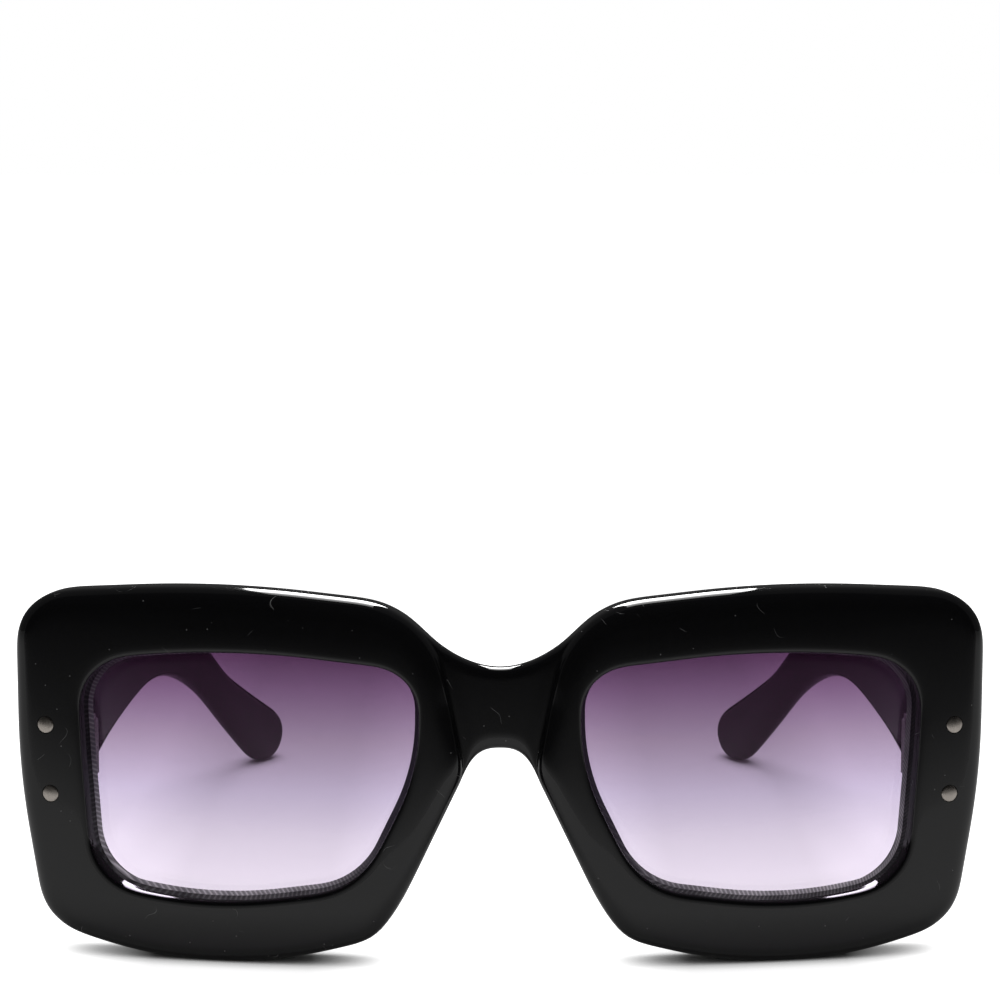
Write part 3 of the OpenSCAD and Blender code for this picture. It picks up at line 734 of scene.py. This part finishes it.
def node(tree, kind, inputs=None, **settings):
    made = tree.nodes.new("ShaderNode" + kind)
    for key, value in settings.items():
        setattr(made, key, value)
    for key, value in (inputs or {}).items():
        if isinstance(value, bpy.types.NodeSocket):
            tree.links.new(value, made.inputs[key])
        else:
            made.inputs[key].default_value = value
    return made


def place_in(tree):
    """The place on the object, and its X, Y and Z."""
    place = node(tree, "TexCoord").outputs["Object"]
    return place, node(tree, "SeparateXYZ", {"Vector": place}).outputs


def number(tree, operation, *values):
    """A number worked out from one or two others."""
    return node(tree, "Math", dict(enumerate(values)), operation=operation).outputs[0]


def ranged(tree, value, low, high, to_low, to_high):
    return node(tree, "MapRange", {"Value": value, "From Min": low, "From Max": high,
                                   "To Min": to_low, "To Max": to_high}).outputs["Result"]


def noise(tree, place, scale, detail):
    return node(tree, "TexNoise", {"Vector": place, "Scale": scale, "Detail": detail}).outputs["Fac"]


def blended(tree, share, colour, other):
    """From one colour to another as the share goes from 0 to 1."""
    return node(tree, "Mix", {0: share, 6: (*colour, 1), 7: (*other, 1)}, data_type="RGBA").outputs[2]


def mixed(tree, share, shader, other):
    """From one shader to another as the share goes from 0 to 1."""
    return node(tree, "MixShader", {0: share, 1: shader, 2: other}).outputs["Shader"]


def matt(tree, colour):
    return node(tree, "BsdfDiffuse", {"Color": (*colour, 1)}).outputs["BSDF"]


def glow(tree, colour, strength):
    return node(tree, "Emission", {"Color": colour, "Strength": strength}).outputs["Emission"]


def straight_view(tree):
    """1 where the camera looks, straight or through a lens, and 0 for light and reflections."""
    path = node(tree, "LightPath").outputs
    return number(tree, "MAXIMUM", path["Is Camera Ray"], path["Is Transmission Ray"])


def output(tree, shader):
    tree.links.new(shader, node(tree, "OutputMaterial").inputs["Surface"])


# Materials of the object
def acetate():
    """Glossy black acetate with hairline scratches and a few specks of dust."""
    made, tree = material("black_acetate")
    place = place_in(tree)[0]
    gloss = ranged(tree, noise(tree, place, 70.0, 4.0), 0.3, 0.7, 0.035, 0.075)
    # Hairlines are thin contours of a slow noise, kept only where another noise is high
    contour = number(tree, "SUBTRACT", noise(tree, place, 150.0, 1.0), 0.5)
    line = ranged(tree, number(tree, "ABSOLUTE", contour), 0.0008, 0.0024, 1.0, 0.0)
    patch = ranged(tree, noise(tree, place, 210.0, 1.0), 0.64, 0.68, 0.0, 1.0)
    hair = number(tree, "MULTIPLY", line, patch)
    cells = node(tree, "TexVoronoi", {"Vector": place, "Scale": 420.0})
    speck = ranged(tree, cells.outputs["Distance"], 0.03, 0.055, 1.0, 0.0)
    dust = number(tree, "MAXIMUM", speck, hair)
    colour = blended(tree, number(tree, "MULTIPLY", dust, 0.35), (0.0035, 0.0035, 0.004), (0.35, 0.35, 0.35))
    rough = number(tree, "ADD", gloss, number(tree, "MULTIPLY", dust, 0.4))
    # A faint waviness, with the hairlines sunk into it
    wave = number(tree, "ADD", noise(tree, place, 45.0, 2.0), number(tree, "MULTIPLY", hair, -0.1))
    bump = node(tree, "Bump", {"Height": wave, "Strength": 0.06, "Distance": 0.0005})
    shader = node(tree, "BsdfPrincipled", {
        "Base Color": colour, "Roughness": rough, "IOR": 1.49, "Normal": bump.outputs["Normal"]})
    output(tree, shader.outputs["BSDF"])
    return made


# Heights in metres and the light that the lens lets through there
LENS_STOPS = [
    (0.0075, (0.70, 0.64, 0.73)), (0.0128, (0.65, 0.585, 0.69)), (0.0176, (0.565, 0.505, 0.61)),
    (0.0256, (0.39, 0.335, 0.455)), (0.0336, (0.24, 0.18, 0.265)), (0.0417, (0.122, 0.068, 0.135)),
    (0.0465, (0.064, 0.028, 0.068)), (0.051, (0.045, 0.017, 0.05))]


def tint_by_height(tree, height):
    """The lens's colour. Light crosses two of its faces, so each takes the root of it."""
    low, high = LENS_STOPS[0][0], LENS_STOPS[-1][0]
    tint = node(tree, "ValToRGB", {"Fac": ranged(tree, height, low, high, 0, 1)})
    stops = tint.color_ramp.elements
    shares = [(z - low) / (high - low) for z, colour in LENS_STOPS]
    for share in shares[1:-1]:
        stops.new(share)
    for stop, share, (z, colour) in zip(stops, shares, LENS_STOPS):
        stop.position = share
        stop.color = (*[math.sqrt(c) for c in colour], 1)
    return tint.outputs["Color"]


def lens_tint():
    """A smoke and plum tint that fades towards the lens's lower edge."""
    made, tree = material("gradient_lens")
    height = place_in(tree)[1]["Z"]
    clear = node(tree, "BsdfTransparent", {"Color": tint_by_height(tree, height)}).outputs["BSDF"]
    clear = node(tree, "AddShader", {0: clear, 1: matt(tree, (0.025, 0.007, 0.022))}).outputs["Shader"]
    gloss = node(tree, "BsdfGlossy", {"Color": WHITE, "Roughness": 0.02}).outputs["BSDF"]
    # It mirrors more the more it is seen from the side
    slant = node(tree, "LayerWeight", {"Blend": 0.5}).outputs["Facing"]
    share = ranged(tree, number(tree, "POWER", slant, 5.0), 0, 1, 0.04, 1)
    output(tree, mixed(tree, share, clear, gloss))
    return made


def ground_edge_painted_glint():
    """The lens's ground bevel: frosted, with the fine teeth that the wheel leaves, and a painted highlight
    where it sparkles.
    """
    made, tree = material("ground_lens_edge_painted_glint")
    place, spot = place_in(tree)
    teeth = node(tree, "TexWave", {
        "Vector": place, "Scale": 900.0, "Distortion": 3.0, "Detail Scale": 90.0},
        bands_direction="DIAGONAL").outputs["Fac"]
    # A painted highlight: it is painted paler low on the lens and away from the nose
    aside = number(tree, "ABSOLUTE", spot["X"])
    share = ranged(tree, teeth, 0.55, 1, 0.26, 0.7)
    for part in (ranged(tree, noise(tree, place, 260.0, 2.0), 0.35, 0.6, 0.6, 1),
                 ranged(tree, spot["Z"], 0.012, 0.03, 1, 0.3),
                 ranged(tree, aside, 0.018, 0.032, 0.1, 1)):
        share = number(tree, "MULTIPLY", share, part)
    # This colour carries the teeth and patches together with the painted highlight
    colour = blended(tree, share, (0.03, 0.025, 0.035), (0.95, 0.92, 0.95))
    shader = node(tree, "BsdfPrincipled", {"Base Color": colour, "Roughness": 0.35}).outputs["BSDF"]
    through = node(tree, "BsdfTranslucent", {"Color": colour}).outputs["BSDF"]
    output(tree, mixed(tree, 0.85, shader, through))
    return made


def metal(name, colour, rough, grain):
    """Satin metal with a fine uneven grain."""
    made, tree = material(name)
    grains = noise(tree, place_in(tree)[0], grain, 6.0)
    spread = ranged(tree, grains, 0.3, 0.7, rough - 0.06, rough + 0.08)
    bump = node(tree, "Bump", {"Height": grains, "Strength": 0.15, "Distance": 0.0001})
    shader = node(tree, "BsdfPrincipled", {
        "Base Color": (*colour, 1), "Metallic": 1.0, "Roughness": spread,
        "Normal": bump.outputs["Normal"]})
    output(tree, shader.outputs["BSDF"])
    return made


# The stage, all in metres
def camera():
    data = bpy.data.cameras.new("camera")
    data.lens = CAMERA_LENS
    data.sensor_width = SENSOR_W
    data.clip_start = 0.01
    eye = bpy.data.objects.new("camera", data)
    eye.location = CAMERA_PLACE
    eye.rotation_euler = (math.radians(90 - CAMERA_DOWN), 0, 0)
    bpy.context.scene.collection.objects.link(eye)
    bpy.context.scene.camera = eye


def soft_lamp(name, place, aim, size, watts):
    """A lamp that lights the object but isn't mirrored in it."""
    data = bpy.data.lights.new(name, "AREA")
    data.shape = "RECTANGLE"
    data.size, data.size_y = size
    data.energy = watts
    light = bpy.data.objects.new(name, data)
    light.visible_glossy = False
    light.location = place
    light.rotation_euler = (Vector(aim) - Vector(place)).to_track_quat("-Z", "Y").to_euler()
    bpy.context.scene.collection.objects.link(light)


def painted_contact_shadow(tree, place, aside):
    """How bright the table's glow is: a painted contact shadow, dark close to the object, and plain white a
    little further off.
    """
    close = node(tree, "AmbientOcclusion", {"Distance": 0.0065}, samples=10).outputs["AO"]
    far = node(tree, "VectorMath", {0: place}, operation="LENGTH").outputs["Value"]
    shade = ranged(tree, close, 0.34, 0.76, 0, 0.8)
    shade = number(tree, "ADD", shade, ranged(tree, far, 0.26, 0.6, 0, 0.5))
    # The painted shadow fades out under the rims' outer and inner lower corners
    outer = ranged(tree, aside, 0.053, 0.067, 0, 0.4)
    inner = ranged(tree, aside, 0.018, 0.029, 0.3, 0)
    shade = number(tree, "ADD", shade, number(tree, "MAXIMUM", outer, inner))
    return number(tree, "MINIMUM", shade, 1.3)


def white_table():
    """A white table. The camera sees it glow evenly white, with a painted shadow where the object comes
    close, over a matt part that shows the lamp's shadows.
    """
    made, tree = material("white_table")
    place, flat = place_in(tree)
    aside = number(tree, "ABSOLUTE", flat["X"])
    # Reflections see it white before the object and beside it, and dim between the temples: a painted shade
    # that only reflections see
    beside = ranged(tree, aside, 0.05, 0.07, 0, 1)
    before = ranged(tree, flat["Y"], -0.06, -0.04, 1, 0)
    open_part = number(tree, "MAXIMUM", beside, before)
    plain = mixed(tree, open_part, matt(tree, (0.4, 0.4, 0.4)), matt(tree, (0.8, 0.8, 0.8)))
    # This glow is the painted contact shadow, white away from the object
    lit = glow(tree, WHITE, painted_contact_shadow(tree, place, aside))
    shown = node(tree, "AddShader", {0: lit, 1: matt(tree, (0.55, 0.55, 0.55))}).outputs["Shader"]
    output(tree, mixed(tree, straight_view(tree), plain, shown))
    return made


def floor():
    bm = bmesh.new()
    bmesh.ops.create_grid(bm, x_segments=1, y_segments=1, size=3)
    piece = object_from(bm, "floor")
    piece.data.materials.append(white_table())


def reflected_only(piece, made):
    """A part of the stage that only the object's reflections see."""
    piece.data.materials.append(made)
    piece.visible_camera = False
    piece.visible_diffuse = False
    piece.visible_transmission = False
    piece.visible_shadow = False


# The band of light: half its width, its distance, its angles above the table, and its strength
BAND_HALF = 0.075
BAND_REACH = 0.5
BAND_FROM = math.radians(27)
BAND_SWEEP = math.radians(59)
BAND_STEPS = 24
BAND_GLOW = 14


def band_point(column, row):
    turn = BAND_FROM + BAND_SWEEP * row / BAND_STEPS
    return Vector((BAND_HALF * (column - 1), BAND_REACH * math.cos(turn), BAND_REACH * math.sin(turn)))


def light_band():
    """A narrow bright band from behind the object to above it, for the highlights on the top edges."""
    bm = bmesh.new()
    laid_grid(bm, 2, BAND_STEPS, band_point)
    made, tree = material("lamp_glow")
    height = place_in(tree)[1]["Z"]
    output(tree, glow(tree, WHITE, ranged(tree, height, 0.4, 0.48, BAND_GLOW, BAND_GLOW / 4)))
    reflected_only(object_from(bm, "light_band"), made)


# Shares of the card's paler lower part, and the greys at its ends and there
CARD_SHARES = (0.34, 0.55, 0.75)
CARD_GREYS = (0.5, 0.17, 0.09, 0.03, 0.015)


def dark_card():
    """A glowing card in front of the object that only reflections see, a painted reflection: dark above,
    paler near the table.
    """
    bm = bmesh.new()
    upright = Matrix.Translation((0, -0.142, 0.25)) @ Matrix.Rotation(math.pi / 2, 4, "X")
    size = Matrix.Diagonal((0.4, 0.25, 1, 1))
    bmesh.ops.create_grid(bm, x_segments=1, y_segments=1, size=1, matrix=upright @ size)
    made, tree = material("reflection_card_glow")
    height = place_in(tree)[1]["Z"]
    shades = node(tree, "ValToRGB", {"Fac": ranged(tree, height, 0, 0.05, 0, 1)})
    stops = shades.color_ramp.elements
    for share in CARD_SHARES:
        stops.new(share)
    for stop, grey in zip(stops, CARD_GREYS):
        stop.color = (grey, grey, grey, 1)
    output(tree, glow(tree, shades.outputs["Color"], 1))
    reflected_only(object_from(bm, "dark_card"), made)


def sky(tree, strength):
    return node(tree, "Background", {"Color": WHITE, "Strength": strength}).outputs["Background"]


def world():
    """White to the camera, a plain fill for matt surfaces and a dim room in the reflections."""
    made = bpy.data.worlds.new("studio")
    bpy.context.scene.world = made
    made.use_nodes = True
    tree = made.node_tree
    tree.nodes.clear()
    glossy = node(tree, "LightPath").outputs["Is Glossy Ray"]
    lit = mixed(tree, glossy, sky(tree, 0.25), sky(tree, 0.07))
    shown = mixed(tree, straight_view(tree), lit, sky(tree, 1.0))
    tree.links.new(shown, node(tree, "OutputWorld").inputs["Surface"])


def stage():
    camera()
    world()
    floor()
    dark_card()
    light_band()
    soft_lamp("top_lamp", (0.0, 0.03, 0.5), (0, 0.03, 0), (0.3, 0.3), 1.77)


def dress_side(side, word, black, lens_finish, shaded_heads, pins):
    """A lens, a temple and their rivets."""
    arm = "temple_" + word
    finished(lens_piece(side, "lens_pane_" + word), lens_finish, "front", ["lens_" + word])
    finished(temple_piece(side, "temple_arm_" + word), [black], arm, ["temple_" + word])
    for level, height in ((1, "upper"), (-1, "lower")):
        place = front_rivet_place(side, level)
        piece = rivet_piece("rivet_%s_%s" % (height, word), place, RIM_T - SHANK_SHORT)
        finished(piece, [shaded_heads], "front", ["front_rivet_%s_%s" % (height, word)])
    for order, end in ((-1, "front"), (1, "rear")):
        place = temple_rivet_place(side, order)
        piece = rivet_piece("pin_%s_%s" % (end, word), place, TEMPLE_T - SHANK_SHORT)
        finished(piece, [pins], arm, ["temple_rivet_%s_%s" % (end, word)])


def dress_steel(steel):
    """Steel for the leaves, screws and core wires, whose solids stay as they are."""
    for name, piece in frame["nodes"].items():
        if "leaf" in name or "screw" in name or "core" in name:
            piece.data.materials.clear()
            piece.data.materials.append(steel)


def main():
    black = acetate()
    lens_finish = [lens_tint(), ground_edge_painted_glint()]
    # The front rivets are the same nickel as the temple pins, with painted shade that makes them darker
    shaded_heads = metal("front_rivet_nickel_painted_dark", (0.47, 0.43, 0.39), 0.28, 900.0)
    pins = metal("temple_rivet_nickel", (0.74, 0.69, 0.63), 0.3, 900.0)
    steel = metal("hinge_steel", (0.62, 0.61, 0.59), 0.3, 700.0)
    stage()
    finished(front_piece(), [black], "front", ["front_frame"])
    for side, word in ((1, "left"), (-1, "right")):
        dress_side(side, word, black, lens_finish, shaded_heads, pins)
    dress_steel(steel)
    bpy.context.scene.view_settings.view_transform = "Standard"


main()
